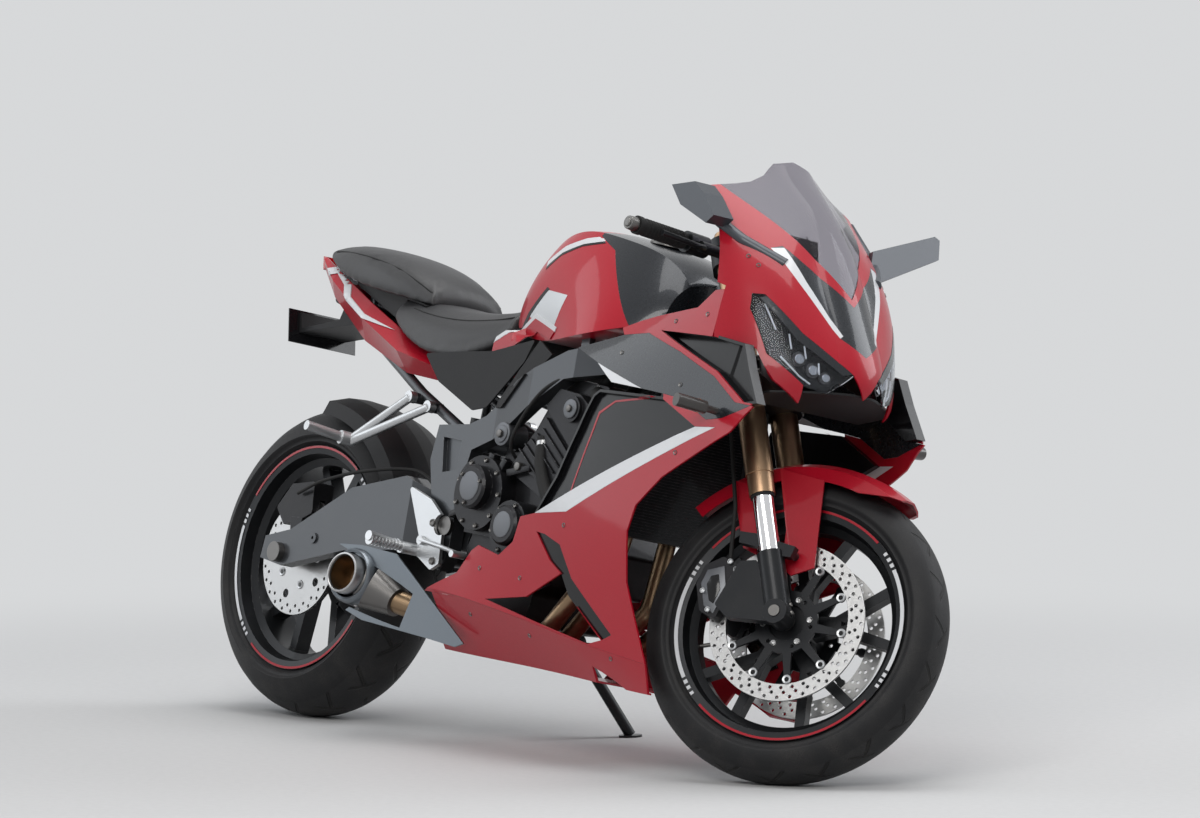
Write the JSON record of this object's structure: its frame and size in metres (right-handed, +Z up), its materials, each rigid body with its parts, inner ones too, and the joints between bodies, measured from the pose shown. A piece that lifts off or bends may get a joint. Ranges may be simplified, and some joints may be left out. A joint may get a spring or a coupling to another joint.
{
  "type": "standard motorcycle",
  "caption": "Full-faired sport motorcycle parked on its side stand, bars turned left: red fairing, dark spar frame, in-line engine, stepped seat, split-spoke wheels.",
  "frame": {"origin": "on the floor, at the middle of the parked machine's plan outline", "axes": "+X towards the front wheel, +Y to the machine's left, +Z up"},
  "size_m": [2.0355, 0.7853, 1.1581],
  "materials": {
    "amber": "gloss",
    "black_plastic": "matte",
    "chrome": "polished",
    "clear": "gloss",
    "dark_paint": "gloss",
    "engine_metal": "satin",
    "frame_paint": "satin",
    "gloss_black": "gloss",
    "gold": "satin",
    "header_metal": "heat tinted",
    "red_lens": "gloss",
    "red_paint": "gloss",
    "rubber": "matte",
    "silver": "satin",
    "smoked": "gloss",
    "steel": "brushed",
    "tyre": "matte",
    "vinyl": "satin",
    "white_paint": "gloss"
  },
  "bodies": {
    "front_wheel": {"front_rim": "frame_paint", "front_tyre": "tyre", "front_rotors": "steel", "front_disc_carriers": "frame_paint"},
    "rear_wheel": {"rear_rim": "frame_paint", "rear_tyre": "tyre", "rear_disc": "steel", "rear_sprocket": "steel"},
    "chassis": {"chain": "steel", "crankcase": "engine_metal", "cylinders": "engine_metal", "engine_covers": "engine_metal", "radiator": "frame_paint", "headers": "header_metal", "silencer": "steel", "silencer_shield": "dark_paint", "swingarm": "frame_paint", "rear_axles": "steel", "shock": "frame_paint", "rear_calliper": "engine_metal", "hugger": "black_plastic", "side_fairings": "red_paint", "upper_fairings": "red_paint", "vent_panels": "black_plastic", "shoulder_panels": "dark_paint", "vent_blades": "gloss_black", "belly_pan": "red_paint", "indicators": "amber", "nose_cowl": "red_paint", "scoops": "black_plastic", "nose_centre": "dark_paint", "stripes": "white_paint", "screen": "smoked", "headlights": "clear", "cowl_stay": "black_plastic", "instruments": "black_plastic", "mirrors": "black_plastic", "tank": "red_paint", "tank_cover": "dark_paint", "rider_seat": "vinyl", "pillion_seat": "vinyl", "frame": "frame_paint", "tail_cowl": "red_paint", "plate_holder": "black_plastic", "number_plate": "gloss_black", "tail_light": "red_lens", "side_covers": "black_plastic", "footrests": "silver", "foot_controls": "silver"},
    "steering": {"fork_tubes": "gold", "fork_sliders": "chrome", "fork_feet": "frame_paint", "front_axle": "steel", "triple_clamps": "frame_paint", "grips": "rubber", "handlebars": "frame_paint", "front_callipers": "engine_metal", "brake_hoses": "rubber", "front_mudguard": "red_paint"},
    "side_stand": {"side_stand": "frame_paint"}
  },
  "joints": [
    {"name": "steering_turn", "type": "hinge", "parent": "chassis", "child": "steering", "pos_m": [0.71285, -0.12276, 0.27061], "axis": [-0.4252, 0.1907, 0.8848], "range_deg": [-58.8, 0]},
    {"name": "front_wheel_turn", "type": "hinge", "parent": "steering", "child": "front_wheel", "pos_m": [0.74279, -0.10152, 0.28042], "axis": [-0.4454, 0.8069, -0.388], "continuous": true},
    {"name": "rear_wheel_turn", "type": "hinge", "parent": "chassis", "child": "rear_wheel", "pos_m": [-0.70265, -0.11613, 0.30978], "axis": [-0.0013, 0.9774, -0.2113], "continuous": true},
    {"name": "side_stand_swing", "type": "hinge", "parent": "chassis", "child": "side_stand", "pos_m": [-0.06337, 0.00364, 0.18795], "axis": [0.0025, 0.9087, 0.4174], "range_deg": [0, 100]}
  ]
}
